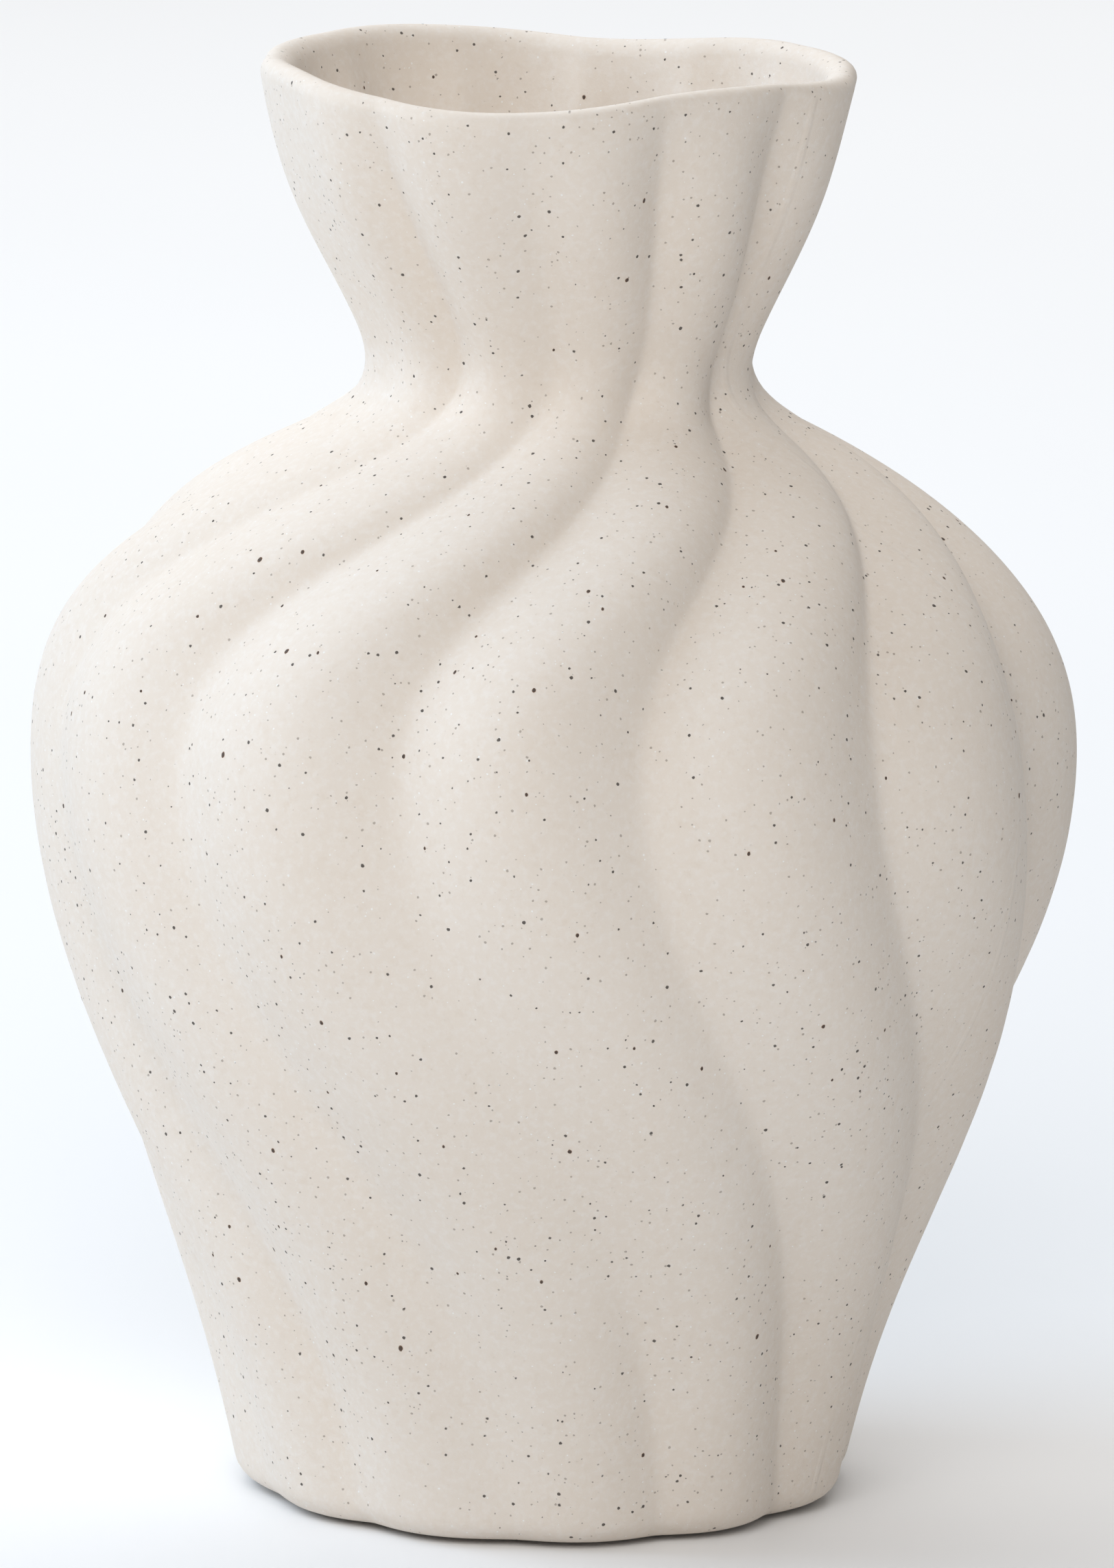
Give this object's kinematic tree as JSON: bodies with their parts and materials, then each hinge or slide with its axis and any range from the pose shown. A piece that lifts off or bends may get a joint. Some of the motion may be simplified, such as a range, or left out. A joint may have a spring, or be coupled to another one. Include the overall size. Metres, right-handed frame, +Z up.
{
  "type": "stoneware vase",
  "caption": "Free-standing pottery vase with soft spiralling folds, a flared neck and a narrow waist; holds water and stems.",
  "frame": {"origin": "on the resting plane, under the middle of the vase", "axes": "+Z up through the mouth; -Y is the front"},
  "size_m": [0.2199, 0.2199, 0.305],
  "materials": {
    "stoneware": "dry matt unglazed clay with fine dark iron specks",
    "inner_glaze": "clear gloss glaze over the clay",
    "felt": "pressed felt"
  },
  "bodies": {
    "root": {"stoneware_body": "stoneware", "liner_glaze": "inner_glaze", "foot_pad_1": "felt", "foot_pad_2": "felt", "foot_pad_3": "felt", "foot_pad_4": "felt"}
  },
  "joints": []
}
